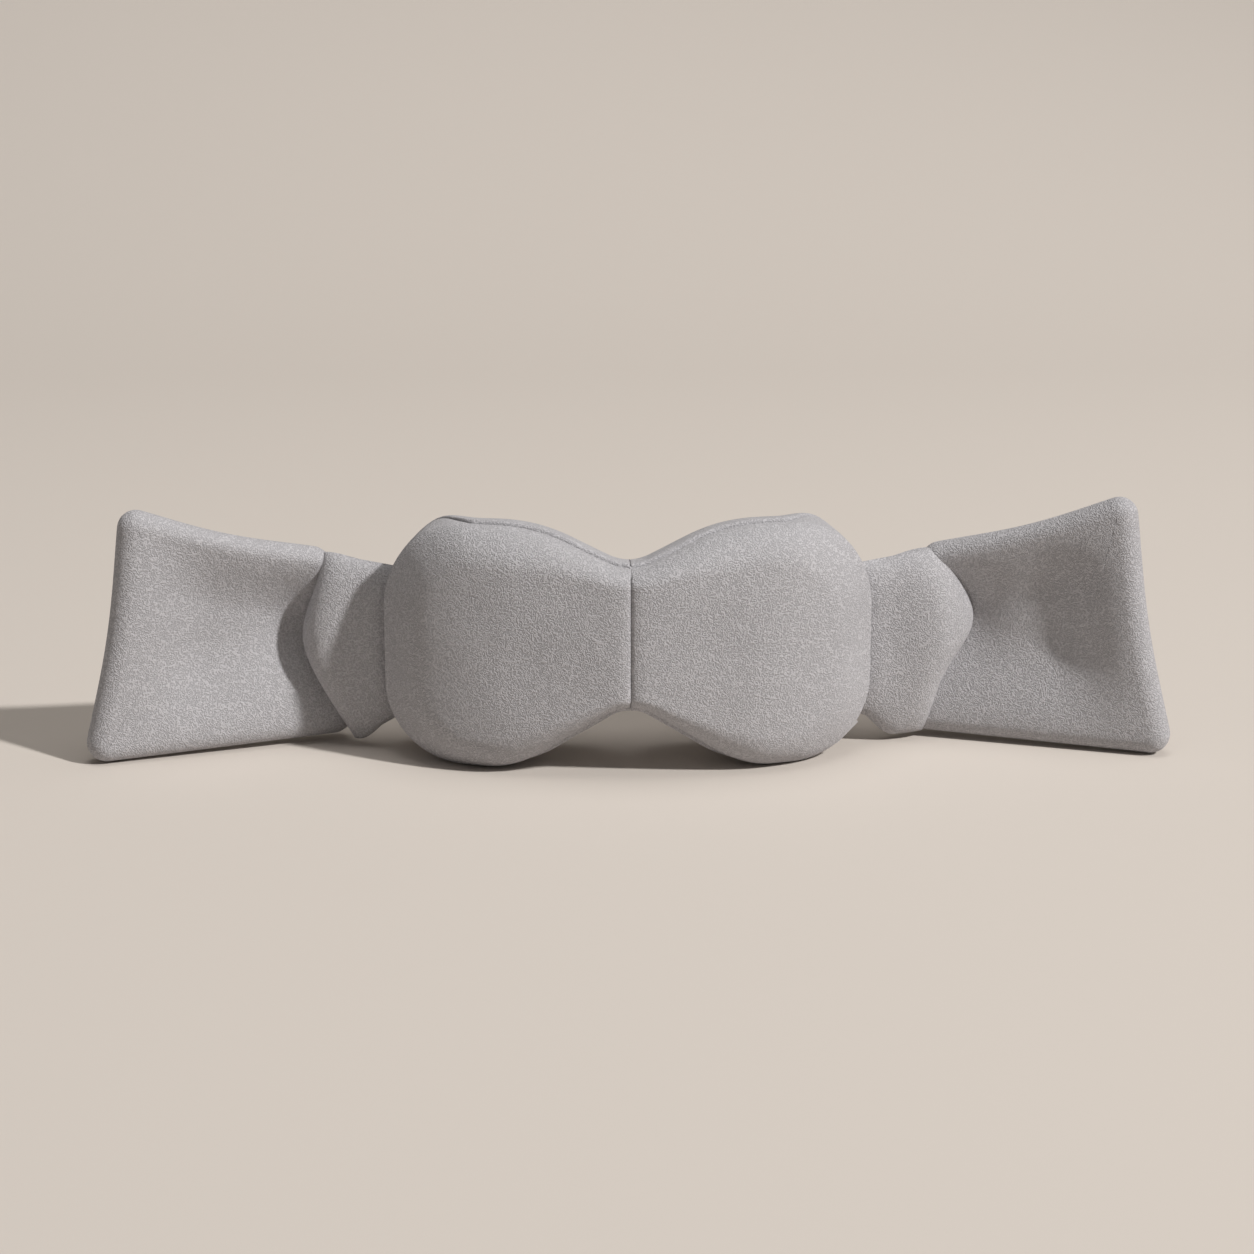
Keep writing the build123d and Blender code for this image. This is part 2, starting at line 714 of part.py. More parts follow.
with BuildPart() as neck_padding:
    add(neck_blank(NECK_WALL + LINER_GAP))
    add(webbing_block(WEBBING_GAP), mode=Mode.SUBTRACT)

with BuildPart() as neck_webbing:
    add(webbing_block(0))

write_pair(neck_cover.part, "neck_cover")
write_pair(neck_padding.part, "neck_padding")
write_pair(neck_webbing.part, "neck_webbing")

# ---------------------------------------------------------------- wings
PATCH_SIZE = (34.0, 52.0, 1.8)
PATCH_AT = (66.0, 58.0)

with BuildPart() as wing_shell:
    add(wing_blank(0))
    add(wing_blank(WING_WALL), mode=Mode.SUBTRACT)

with BuildPart() as wing_front_panel:
    add(wing_shell.part)
    split(bisect_by=upright_plane(CREASE_POINT, -WING_TOE), keep=Keep.TOP)

with BuildPart() as wing_back_panel:
    add(wing_shell.part)
    split(bisect_by=upright_plane(CREASE_POINT, -WING_TOE), keep=Keep.BOTTOM)

with BuildPart() as wing_padding:
    add(wing_blank(WING_WALL + LINER_GAP))

with BuildPart() as hook_patch:
    with BuildSketch(upright_plane(CREASE_POINT, -WING_TOE).offset(-WING_THICK / 2)):
        with Locations(PATCH_AT):
            RectangleRounded(PATCH_SIZE[0], PATCH_SIZE[1], 4)
    extrude(amount=-PATCH_SIZE[2])

write_pair(wing_front_panel.part, "wing_front_panel")
write_pair(wing_back_panel.part, "wing_back_panel")
write_pair(wing_padding.part, "wing_padding")
write(hook_patch.part, "hook_patch")

print("fold axis y", round(FOLD_Y, 3))
print("neck axis", round(SHOULDER.X, 3), round(SHOULDER.Y, 3), "angle", round(degrees(NECK_ANGLE), 2))
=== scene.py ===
import json
import math

import bpy
import numpy as np
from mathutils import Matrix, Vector, noise


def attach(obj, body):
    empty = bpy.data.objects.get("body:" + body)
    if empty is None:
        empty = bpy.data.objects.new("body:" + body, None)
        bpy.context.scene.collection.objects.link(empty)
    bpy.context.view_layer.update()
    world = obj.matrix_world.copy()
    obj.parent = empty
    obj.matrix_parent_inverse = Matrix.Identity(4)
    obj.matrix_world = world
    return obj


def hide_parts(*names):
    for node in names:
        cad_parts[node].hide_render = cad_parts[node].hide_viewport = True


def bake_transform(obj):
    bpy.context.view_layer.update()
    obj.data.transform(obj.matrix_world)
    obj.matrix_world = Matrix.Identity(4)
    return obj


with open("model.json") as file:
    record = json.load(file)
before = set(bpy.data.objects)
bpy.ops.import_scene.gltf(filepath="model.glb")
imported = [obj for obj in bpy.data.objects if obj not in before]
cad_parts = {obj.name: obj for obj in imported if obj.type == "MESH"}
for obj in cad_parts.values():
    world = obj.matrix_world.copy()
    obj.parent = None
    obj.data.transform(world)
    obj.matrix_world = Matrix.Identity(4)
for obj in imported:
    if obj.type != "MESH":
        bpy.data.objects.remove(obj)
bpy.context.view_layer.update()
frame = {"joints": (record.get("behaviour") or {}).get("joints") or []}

MM = 0.001
SIDES = {"right": 1.0, "left": -1.0}

# ------------------------------------------------------------------ the frame's driving places
JOINTS = {j["name"]: j for j in frame["joints"]}
FOLD = JOINTS["right_fold"]["pos_m"]
SHOULDER = JOINTS["right_neck_swing"]["pos_m"]
CREASE = JOINTS["right_wing_swing"]["pos_m"]
SPIN_AXIS = JOINTS["right_motor_spin"]["axis"]

FOLD_Y = FOLD[1] / MM
SWEEP = math.atan2(SPIN_AXIS[1], SPIN_AXIS[0])
HINGE_SETBACK = 9.0       # the fold axis lies this far behind the lobes' front
HALF_DEPTH = 30.0         # half the lobes' thickness
LOBE_Y = FOLD_Y - HINGE_SETBACK + HALF_DEPTH * math.cos(SWEEP)


def to_world(along, up, depth, origin, angle, side):
    """Points given along, up and towards the front of an upright plane, as metres in the row frame."""
    x = origin[0] + along * math.cos(angle) + depth * math.sin(angle)
    y = origin[1] + along * math.sin(angle) - depth * math.cos(angle)
    return np.stack([x * side, y, up + 0 * x], axis=-1) * MM


# ------------------------------------------------------------------ mesh helpers
def grid_faces(rows, columns, wrap):
    """Quads between neighbouring rows of points; the columns close on themselves if wrap."""
    faces = []
    last = columns if wrap else columns - 1
    for i in range(rows - 1):
        for j in range(last):
            k = (j + 1) % columns
            faces.append((i * columns + j, i * columns + k, (i + 1) * columns + k, (i + 1) * columns + j))
    return faces


def make_mesh(name, points, faces, side=1.0):
    """A smooth-shaded mesh object; faces turn over on the mirrored side."""
    if side < 0:
        faces = [tuple(reversed(f)) for f in faces]
    mesh = bpy.data.meshes.new(name)
    mesh.from_pydata([tuple(p) for p in points], [], faces)
    mesh.validate()
    mesh.polygons.foreach_set("use_smooth", [True] * len(mesh.polygons))
    obj = bpy.data.objects.new(name, mesh)
    bpy.context.scene.collection.objects.link(obj)
    return obj


def smoothstep(x, low, high):
    """0 below low, 1 above high, smooth between."""
    t = np.clip((x - low) / (high - low), 0, 1)
    return t * t * (3 - 2 * t)


def soft_noise(points, scale, seed):
    """Smooth noise at each point, about -1 to 1; scale is in features per metre."""
    shift = Vector((seed * 7.1, seed * 3.7, seed * 5.3))
    return np.array([noise.noise(Vector(p) * scale + shift) for p in points])


def rounded_outline(corners, radii, step):
    """Closed outline through straight runs and tangent arcs, one radius per corner."""
    count = len(corners)
    points = []
    for i in range(count):
        here = np.array(corners[i], float)
        before = np.array(corners[i - 1], float) - here
        after = np.array(corners[(i + 1) % count], float) - here
        before /= np.linalg.norm(before)
        after /= np.linalg.norm(after)
        half = math.acos(np.clip(before @ after, -1, 1)) / 2
        reach = radii[i] / math.tan(half)
        middle = (before + after) / np.linalg.norm(before + after)
        centre = here + middle * radii[i] / math.sin(half)
        first = here + before * reach
        turn = math.pi - 2 * half
        sign = np.sign(before[0] * after[1] - before[1] * after[0]) * -1
        arm = first - centre
        steps = max(3, int(radii[i] * turn / step))
        for k in range(steps + 1):
            a = sign * turn * k / steps
            points.append(centre + [arm[0] * math.cos(a) - arm[1] * math.sin(a),
                                    arm[0] * math.sin(a) + arm[1] * math.cos(a)])
    return np.array(points)


def resample(points, count, closed):
    """The same line with evenly spaced points."""
    line = np.vstack([points, points[:1]]) if closed else points
    length = np.concatenate([[0], np.cumsum(np.linalg.norm(np.diff(line, axis=0), axis=1))])
    at = np.linspace(0, length[-1], count, endpoint=not closed)
    return np.stack([np.interp(at, length, line[:, k]) for k in range(line.shape[1])], axis=1)


def inward_normals(line):
    """Unit normals of a closed anticlockwise outline, pointing inwards."""
    tangent = np.roll(line, -1, axis=0) - np.roll(line, 1, axis=0)
    tangent /= np.linalg.norm(tangent, axis=1)[:, None]
    return np.stack([-tangent[:, 1], tangent[:, 0]], axis=1)


# ------------------------------------------------------------------ eye lobes
LOBE_LENGTH = 111.6
LOBE_TOP = 113.6
POD_CORNERS = [(0, 32.6), (46, 0), (LOBE_LENGTH, 0), (LOBE_LENGTH, LOBE_TOP), (42, LOBE_TOP), (0, 95.4),
               (-42, LOBE_TOP), (-LOBE_LENGTH, LOBE_TOP), (-LOBE_LENGTH, 0), (-46, 0)]
CHEEK_RADIUS = 36.0
POD_RADII = [13, 58, CHEEK_RADIUS, 43, 88, 22, 88, 43, CHEEK_RADIUS, 58]
LOBE_CENTRE = np.array([60.0, 58.0])
BAND_IN = 18.0            # the front rounding's reach across the lobe
BAND_IN_OUTER = 23.0
BAND_IN_MIDDLE = 9.0      # and beside the centre seam, where it's tight
SEAM_MIDDLE, SEAM_TOP, SEAM_OUTER = 18.0, 12.0, -17.0
TURN = (68, 94)           # where the seam slips to the rear of the outer side
SIDE_FLAT = 27.0          # straight part of the outer side in front of the seam
STEP_TOP, STEP_BOTTOM, STEP_END = 1.5, 2.4, 0.0
RIM_BACK = 3.0            # the rear panel's puffy rim peaks this far behind the seam
REAR_IN, REAR_IN_OUTER = 18.0, 11.0
CROWN = 0.0046            # how fast the front falls away beyond the crown's start
CROWN_START = 46.0
DOME = 3.2                # and towards the top and bottom edges
VALLEYS = ((1.7, 2.6), (1.8, 13.0))
RELIEF = math.tan(math.radians(24))
RELIEF_START = 4.0
EYE_CENTRE = np.array([58.0, 58.0])
EYE_HALF = np.array([30.0, 23.0])
EYE_LIP = 6.0             # rounding of the eye hollow's edge
CUP_DEPTH = -15.6         # floor of the eye hollow
CUP_NARROWING = 2.5
CUP_SAG = 0.8
SEAM_GROOVE = 1.1         # how far the skin dips in where the panels meet
GROOVE_FRONT, GROOVE_REAR = 0.9, 1.0
VALLEY_START, VALLEY_FULL = 14, 25      # the centre valley is cut only in the front of the lobe
UNEVEN, UNEVEN_SCALE = 0.45, 38         # slow unevenness of the stuffing
SEAM_CLEARANCE = 0.12
FRONT_FADE = -4           # depth behind which the crown, dome and unevenness die out
DOME_HALF = 54            # half height over which the dome falls away
UPRIGHT_REACH = 30        # the slices stand square to the wearer this near the centre seam
RELIEF_SOFT = (0.05, 2.5, 20)    # how softly the inner wall turns: at the front, behind, and over what depth
AROUND = 420              # points round the lobe
CURVE_SHARE = 0.84        # of them on the outline, and the rest down the centre seam
CHEEK = np.array([LOBE_LENGTH - CHEEK_RADIUS, CHEEK_RADIUS])    # centre of the lower outer corner
CONTROL_SET_IN = 0.7      # how far the control housing's flat face is cut into that corner
CONTROL_FACE = CHEEK_RADIUS - CONTROL_SET_IN
CONTROL_HALF = (7.6, 11.6)
CONTROL_DEPTH = -4.7
CONTROL_MARGIN = 2.5      # over which the skin comes back out round the housing
CONTROL_SINK = 0.9        # the skin lies this far under the housing's face
CORNER_START = 25         # how far out from its centre the corner's skin may be drawn in


def sink_round_controls(points):
    """Draw the right lobe's skin in under the control housing, so its rim stands just proud."""
    out = (points[:, 0] - CHEEK[0] - points[:, 1] + CHEEK[1]) * math.sqrt(0.5)
    across = (points[:, 0] - CHEEK[0] + points[:, 1] - CHEEK[1]) * math.sqrt(0.5)
    depth = points[:, 2] - CONTROL_DEPTH
    near = 1 - smoothstep(np.abs(across), CONTROL_HALF[0], CONTROL_HALF[0] + CONTROL_MARGIN)
    near = near * (1 - smoothstep(np.abs(depth), CONTROL_HALF[1], CONTROL_HALF[1] + CONTROL_MARGIN))
    pull = np.maximum(out - CONTROL_FACE + CONTROL_SINK, 0) * near * (out > CORNER_START) * math.sqrt(0.5)
    moved = points.copy()
    moved[:, 0] -= pull
    moved[:, 1] += pull
    return moved


def half_outline(count):
    """The right lobe's outline from the arch round to the dip, then down the centre seam."""
    whole = rounded_outline(POD_CORNERS, POD_RADII, 0.5)
    whole = resample(whole, 4000, True)
    right = whole[whole[:, 0] >= 0]
    start = np.argmin(np.where(right[:, 1] < 45, right[:, 0], 1e9))
    right = np.roll(right, -start, axis=0)
    curve = resample(right, int(count * CURVE_SHARE), False)
    curve[0, 0] = 0
    curve[-1, 0] = 0
    normals = inward_normals(curve)
    normals[0] = (0, 1)
    normals[-1] = (0, -1)
    return curve, normals, count - len(curve)


CURVE, CURVE_NORMALS, WALL_COUNT = half_outline(AROUND)


def round_the_lobe(middle, top, outer, bottom=None):
    """One value per outline point, between its values at the centre seam, mid lobe and outer side."""
    along, up = CURVE[:, 0], CURVE[:, 1]
    base = top if bottom is None else np.where(up < LOBE_CENTRE[1], bottom, top)
    value = base + (middle - base) * (1 - smoothstep(along, 0, 46))
    value = value + (outer - value) * smoothstep(along, *TURN)
    first, last = value[0], value[-1]
    return np.concatenate([value, np.linspace(last, first, WALL_COUNT)])


BAND = round_the_lobe(BAND_IN_MIDDLE, BAND_IN, BAND_IN_OUTER)
SEAM = round_the_lobe(SEAM_MIDDLE, SEAM_TOP, SEAM_OUTER)
FLAT = round_the_lobe(0.0, 0.5, SIDE_FLAT)
STEP = np.where(CURVE[:, 1] < LOBE_CENTRE[1],
                STEP_BOTTOM + (STEP_END - STEP_BOTTOM) * smoothstep(CURVE[:, 0], 26, 62),
                STEP_TOP + (STEP_END - STEP_TOP) * smoothstep(CURVE[:, 0], *TURN))
STEP = np.concatenate([STEP, np.full(WALL_COUNT, STEP_TOP)])
REAR = round_the_lobe(REAR_IN, REAR_IN, REAR_IN_OUTER)


def contour(inset):
    """The lobe's outline moved inwards by the inset at each point; the centre seam stays at 0."""
    rim = CURVE + CURVE_NORMALS * inset[:len(CURVE), None]
    rim[:, 0] = np.maximum(rim[:, 0], 0)
    z = np.linspace(rim[-1, 1], rim[0, 1], WALL_COUNT + 2)[1:-1]
    return np.vstack([rim, np.stack([0 * z, z], axis=1)])


def lobe_rows():
    """Rows of (along, up, depth) from the middle of the front to the middle of the eye hollow."""
    rows = []
    start = SEAM + FLAT
    cap = contour(BAND)
    for t in np.linspace(0, 1, 36)[1:]:
        ring = LOBE_CENTRE + (cap - LOBE_CENTRE) * t
        rows.append(("front", ring, np.full(AROUND, HALF_DEPTH)))
    for phi in np.linspace(math.pi / 2, 0, 34)[1:]:
        inset = STEP + (BAND - STEP) * (1 - math.cos(phi))
        rows.append(("front", contour(inset), start + (HALF_DEPTH - start) * math.sin(phi)))
    for t in np.linspace(0, 1, 14)[1:]:
        bulge = 0.3 * math.sin(math.pi * t) * (FLAT / SIDE_FLAT)
        rows.append(("front", contour(STEP - bulge), start - FLAT * t))
    for t in np.linspace(0, 1, 7)[1:]:
        rows.append(("front", contour(STEP + SEAM_GROOVE * t * t), SEAM - GROOVE_FRONT * t))
    for t in np.linspace(0, 1, 13):
        inset = (STEP + SEAM_GROOVE) * (1 - math.sin(math.pi / 2 * t) ** 0.8)
        back = GROOVE_REAR + (RIM_BACK - GROOVE_REAR) * (1 - math.cos(math.pi / 2 * t))
        rows.append(("rear", contour(inset), SEAM - back))
    for phi in np.linspace(0, math.pi / 2, 30)[1:]:
        depth = SEAM - RIM_BACK - (HALF_DEPTH + SEAM - RIM_BACK) * math.sin(phi)
        rows.append(("rear", contour(REAR * (1 - math.cos(phi)) ** 0.8), depth))
    face = contour(REAR)
    arm = face - EYE_CENTRE
    angle = np.arctan2(arm[:, 1] / EYE_HALF[1], arm[:, 0] / EYE_HALF[0])
    unit = np.stack([np.cos(angle), np.sin(angle)], axis=1)
    lip = EYE_CENTRE + unit * (EYE_HALF + EYE_LIP)
    for t in np.linspace(0, 1, 12)[1:]:
        rows.append(("rear", face + (lip - face) * t, np.full(AROUND, -HALF_DEPTH)))
    for phi in np.linspace(0, math.pi / 2, 12)[1:]:
        ring = EYE_CENTRE + unit * (EYE_HALF + EYE_LIP * (1 - math.sin(phi)))
        rows.append(("rear", ring, np.full(AROUND, -HALF_DEPTH + EYE_LIP * (1 - math.cos(phi)))))
    for t in np.linspace(0, 1, 8)[1:]:
        rows.append(("rear", EYE_CENTRE + unit * (EYE_HALF - CUP_NARROWING * t * t),
                     np.full(AROUND, -HALF_DEPTH + EYE_LIP + (CUP_DEPTH + HALF_DEPTH - EYE_LIP) * t)))
    for t in np.linspace(1, 0.02, 14)[1:]:
        rows.append(("rear", EYE_CENTRE + unit * (EYE_HALF - CUP_NARROWING) * t,
                     np.full(AROUND, CUP_DEPTH - CUP_SAG * (1 - t * t))))
    return rows


def shape_lobe(points, seed):
    """Pillow crown, centre valley, nose relief and slow unevenness, in lobe coordinates."""
    along, up, depth = points[:, 0].copy(), points[:, 1].copy(), points[:, 2].copy()
    front = smoothstep(depth, FRONT_FADE, HALF_DEPTH)
    crown = CROWN * np.maximum(along - CROWN_START, 0) ** 2
    depth -= front * (crown + DOME * np.abs((up - LOBE_CENTRE[1]) / DOME_HALF) ** 3)
    valley = sum(d * np.exp(-np.abs(along) / w) for d, w in VALLEYS)
    depth -= valley * smoothstep(depth, VALLEY_START, VALLEY_FULL)
    depth += UNEVEN * soft_noise(points * MM, UNEVEN_SCALE, seed) * front
    along -= depth * math.tan(SWEEP) * np.exp(-along / UPRIGHT_REACH)
    x = along * math.cos(SWEEP) + depth * math.sin(SWEEP)
    y = LOBE_Y + along * math.sin(SWEEP) - depth * math.cos(SWEEP)
    gap = SEAM_CLEARANCE + np.maximum(y - RELIEF_START, 0) * RELIEF
    softness = RELIEF_SOFT[0] + RELIEF_SOFT[1] * smoothstep(y, RELIEF_START, RELIEF_START + RELIEF_SOFT[2])
    over = (x - gap) / softness
    x = gap + softness * np.where(over > 20, over, np.log1p(np.exp(np.minimum(over, 20))))
    return np.stack([x, y, up], axis=1)


def make_lobe(side_name):
    """Front and rear plush panels of one lobe, parted along the seam groove."""
    side = SIDES[side_name]
    rows = lobe_rows()
    pieces = {}
    for kind in ("front", "rear"):
        mine = [(ring, depth) for k, ring, depth in rows if k == kind]
        flat = np.vstack([np.column_stack([ring, depth]) for ring, depth in mine])
        if side > 0:
            flat = sink_round_controls(flat)
        world = shape_lobe(flat, 1 if side > 0 else 2)
        world[:, 0] *= side
        world *= MM
        faces = grid_faces(len(mine), AROUND, True)
        centre = len(world)
        middle = world[:AROUND].mean(axis=0) if kind == "front" else world[-AROUND:].mean(axis=0)
        world = np.vstack([world, middle])
        if kind == "front":
            faces += [(centre, (j + 1) % AROUND, j) for j in range(AROUND)]
        else:
            base = (len(mine) - 1) * AROUND
            faces += [(centre, base + j, base + (j + 1) % AROUND) for j in range(AROUND)]
        faces = [tuple(reversed(f)) for f in faces]
        obj = make_mesh(f"{side_name}_{kind}_panel", world, faces, side)
        pieces[kind] = obj
    return pieces


TAPE_ENDS = (33.5, 96.5)
TAPE_Y = -33.2
TAPE_HALF = (0.9, 1.6)


def make_seam_tape():
    """The stitched centre seam: a narrow taped ridge sunk between the two front panels."""
    around = 16
    up = np.linspace(*TAPE_ENDS, 120)
    angle = np.linspace(0, 2 * math.pi, around, endpoint=False)
    points = []
    for z in up:
        end = min(z - up[0], up[-1] - z)
        size = math.sqrt(np.clip(end / 3, 0.02, 1)) * (1 + 0.1 * math.sin(z * 2.1))
        bow = 7.0 * (1 - np.clip(end / 7, 0, 1)) ** 2
        points.append(np.stack([TAPE_HALF[0] * size * np.cos(angle),
                                TAPE_Y + bow + TAPE_HALF[1] * size * np.sin(angle),
                                z + 0 * angle], axis=1))
    points = np.vstack(points) * MM
    faces = grid_faces(len(up), around, True)
    faces += [tuple(range(around - 1, -1, -1)), tuple(range(len(points) - around, len(points)))]
    return make_mesh("centre_seam_tape", points, faces)


# ------------------------------------------------------------------ necks
NECK_ANGLE = math.atan2(CREASE[1] - SHOULDER[1], CREASE[0] - SHOULDER[0])
NECK_ORIGIN = (SHOULDER[0] / MM, SHOULDER[1] / MM)
NECK_INNER = -16.0        # the sleeve starts this far inboard of the neck's joint
NECK_UP = (2.6, 8, 20, 32, 40, 48, 55, 65, 75, 84, 90.6)
CREASE_REACH = {"right": (138, 140, 142.5, 146.5, 152.5, 159, 162, 160, 155, 150, 147),
                "left": (125, 129, 135.5, 142, 146.5, 149, 149, 146, 142, 139.5, 138)}
NECK_SMOOTHING = 30       # steps each side over which the crease's outline is smoothed
NECK_TAPER = 0.2          # the neck's height shrinks towards the lobe
NECK_LIFT = 24.0          # height about which it shrinks, above the neck's middle
NECK_THICK, NECK_THICK_OUTER = 9.5, 17.0
NECK_THICKENING = (-4, 24)
NECK_WAIST_BOTTOM, NECK_WAIST_TOP = (-16, 5), (-8, 19)    # where the taper starts and ends
NECK_FLAT = 0.72          # thickness left at the top and bottom ends
NECK_SQUARE = 0.92        # 1 is an ellipse in plan, less is boxier
NECK_BACK = 0.75          # the face side is flatter than the front


def make_neck(side_name):
    """A puffy sleeve, fuller towards its outer edge, which bulges over the wing's root."""
    side = SIDES[side_name]
    rows, around = 110, 180
    angle = np.linspace(0, 2 * math.pi, around, endpoint=False)
    low, high = NECK_UP[0], NECK_UP[-1]
    middle, half_height = (low + high) / 2, (high - low) / 2
    fine = np.linspace(low - 12, high + 12, 240)
    reach_of = np.interp(fine, NECK_UP, CREASE_REACH[side_name]) - NECK_ORIGIN[0]
    reach_of = reach_of / math.cos(NECK_ANGLE)
    window = np.hanning(2 * NECK_SMOOTHING + 1)
    reach_of = np.convolve(np.pad(reach_of, NECK_SMOOTHING, "edge"), window / window.sum(), "valid")
    points = []
    for zeta in np.sin(np.linspace(-math.pi / 2, math.pi / 2, rows + 2)[1:-1]):
        up = middle + half_height * zeta
        outer = np.interp(up, fine, reach_of)
        close = (1 - abs(zeta) ** 6) ** 0.5
        centre, reach = (outer + NECK_INNER) / 2, (outer - NECK_INNER) / 2
        along = centre + reach * np.sign(np.cos(angle)) * np.abs(np.cos(angle)) ** NECK_SQUARE
        half = NECK_THICK + (NECK_THICK_OUTER - NECK_THICK) * smoothstep(along, *NECK_THICKENING)
        half = half * close * (NECK_FLAT + (1 - NECK_FLAT) * (1 - zeta * zeta))
        half = half * np.where(np.sin(angle) < 0, NECK_BACK, 1)
        depth = half * np.sign(np.sin(angle)) * np.abs(np.sin(angle)) ** NECK_SQUARE
        ease = smoothstep(zeta, -1, 1)
        start = NECK_WAIST_BOTTOM[0] + (NECK_WAIST_TOP[0] - NECK_WAIST_BOTTOM[0]) * ease
        end = NECK_WAIST_BOTTOM[1] + (NECK_WAIST_TOP[1] - NECK_WAIST_BOTTOM[1]) * ease
        taper = 1 - NECK_TAPER * (1 - smoothstep(along, start, end))
        tall = middle + (up - middle) * taper + NECK_LIFT * (1 - taper)
        points.append(to_world(along, tall, depth, NECK_ORIGIN, NECK_ANGLE, side))
    points = np.vstack(points)
    faces = grid_faces(rows, around, True)
    bottom, top = len(points), len(points) + 1
    points = np.vstack([points, points[:around].mean(axis=0), points[-around:].mean(axis=0)])
    faces += [(bottom, (j + 1) % around, j) for j in range(around)]
    base = (rows - 1) * around
    faces += [(top, base + j, base + (j + 1) % around) for j in range(around)]
    faces = [tuple(reversed(f)) for f in faces]
    return make_mesh(f"{side_name}_neck_sleeve", points, faces, side)


# ------------------------------------------------------------------ wings
WING_ORIGIN = (CREASE[0] / MM, CREASE[1] / MM)
WING_TOE = math.radians(18.8)
WING_CORNERS = {"right": [(-13, 2.6), (112.5, 0.3), (89.5, 122.5), (-7, 91.0)],
                "left": [(-18, 3.0), (110.0, 0.3), (88.0, 119.0), (-7, 91.0)]}
WING_RADII = [9.5, 9.5, 9.5, 9.5]
WING_BOW = 2.8            # how far the long edges pull in
WING_SPINE = (np.array([22.0, 47.0]), np.array([70.0, 55.0]))   # where the rings close up
EDGE_RADIUS = 8.0         # soft rounding of the wing's edge
EDGE_HALF = 7.8           # half the rim's thickness
EDGE_STEPS = 14
DISH_FRONT, DISH_BACK = 9.6, 2.6    # how far the middle sinks on each face
ROLLS = ((1, 2, 9, 50), (2, 3, 4, 38), (0, 1, 8, 52))   # an edge's corners, and its roll's start and end
TUCK = (12.0, 58.0, 18.0, 22.0, 4.5)    # extra hollow by the crease: place, reach, depth
WAVE, WAVE_SCALE = 1.3, 22     # slow waves in the padding
DENT_FADE = (2, 20)            # distance from the edge over which dents come in
DENT_THROUGH = 0.7             # how much of a dent shows on the back


def edge_distance(points, a, b):
    """Distance of plane points from the line through two corners."""
    a, run = np.array(a, float), np.array(b, float) - np.array(a, float)
    return np.abs((points[:, 0] - a[0]) * run[1] - (points[:, 1] - a[1]) * run[0]) / np.linalg.norm(run)


def wing_outline(corners, count):
    """The wing's outline with its long edges pulled in a little between the corners."""
    line = resample(rounded_outline(corners, WING_RADII, 0.5), count, True)
    normals = inward_normals(line)
    pull = np.zeros(count)
    for a, b in ((1, 2), (2, 3)):
        start, run = np.array(corners[a], float), np.array(corners[b], float) - np.array(corners[a], float)
        t = np.clip(((line - start) @ run) / (run @ run), 0, 1)
        near = edge_distance(line, corners[a], corners[b]) < 4
        pull += np.where(near, WING_BOW * np.sin(math.pi * t) ** 1.5, 0)
    return line + normals * pull[:, None]


def make_wing(side_name):
    """A flared pad with soft rolled rims round a dished middle that runs on into the crease."""
    side = SIDES[side_name]
    around, lerps = 380, 60
    corners = WING_CORNERS[side_name]
    edge = wing_outline(corners, around)
    normals = inward_normals(edge)
    turns = np.linspace(0, math.pi / 2, EDGE_STEPS)
    rings = [edge + normals * EDGE_RADIUS * (1 - math.cos(a)) for a in turns]
    inner = rings[-1]
    run = WING_SPINE[1] - WING_SPINE[0]
    t = np.clip(((inner - WING_SPINE[0]) @ run) / (run @ run), 0, 1)
    spine = WING_SPINE[0] + t[:, None] * run
    rings += [inner + (spine - inner) * u for u in np.linspace(0, 1, lerps)[1:]]
    flat = np.vstack(rings)
    distance = np.full(len(flat), 1e9)
    for p in resample(edge, 300, True):
        distance = np.minimum(distance, np.hypot(flat[:, 0] - p[0], flat[:, 1] - p[1]))
    for i, a in enumerate(turns):
        distance[i * around:(i + 1) * around] = EDGE_RADIUS * (1 - math.cos(a))
    curl = np.clip(1 - distance / EDGE_RADIUS, 0, 1)
    rim = EDGE_HALF * np.sqrt(1 - curl ** 2)
    dish = np.ones(len(flat))
    for a, b, start, end in ROLLS:
        dish *= smoothstep(edge_distance(flat, corners[a], corners[b]), start, end)
    wave = soft_noise(np.column_stack([flat, 0 * distance]) * MM, WAVE_SCALE, 3 if side > 0 else 4)
    off = ((flat[:, 0] - TUCK[0]) / TUCK[2]) ** 2 + ((flat[:, 1] - TUCK[1]) / TUCK[3]) ** 2
    tuck = TUCK[4] * np.exp(-off)
    dent = (WAVE * wave - tuck) * smoothstep(distance, *DENT_FADE)
    front = np.column_stack([flat, rim - DISH_FRONT * dish + dent])
    back = np.column_stack([flat, -rim + DISH_BACK * dish + DENT_THROUGH * dent])
    count = len(rings)
    points = np.vstack([front, back[around:]])
    faces = grid_faces(count, around, True)
    second = [tuple(reversed(f)) for f in grid_faces(count, around, True)]
    shift = len(front) - around
    second = [tuple(i if i < around else i + shift for i in f) for f in second]
    faces += second
    world = to_world(points[:, 0], points[:, 1], points[:, 2], WING_ORIGIN, -WING_TOE, side)
    return make_mesh(f"{side_name}_wing_pad", world, faces, side)


# ------------------------------------------------------------------ materials
def new_material(name):
    """A new material, its node tree and its shader."""
    material = bpy.data.materials.new(name)
    material.use_nodes = True
    tree = material.node_tree
    shader = tree.nodes["Principled BSDF"]
    return material, tree, shader


def link(tree, output, socket):
    """Join one node's output to another's input."""
    tree.links.new(output, socket)


def add_node(tree, kind, inputs=None, **settings):
    """A shader node with its settings, and then its inputs' values."""
    node = tree.nodes.new(kind)
    for name, value in settings.items():
        setattr(node, name, value)
    for name, value in (inputs or {}).items():
        node.inputs[name].default_value = value
    return node


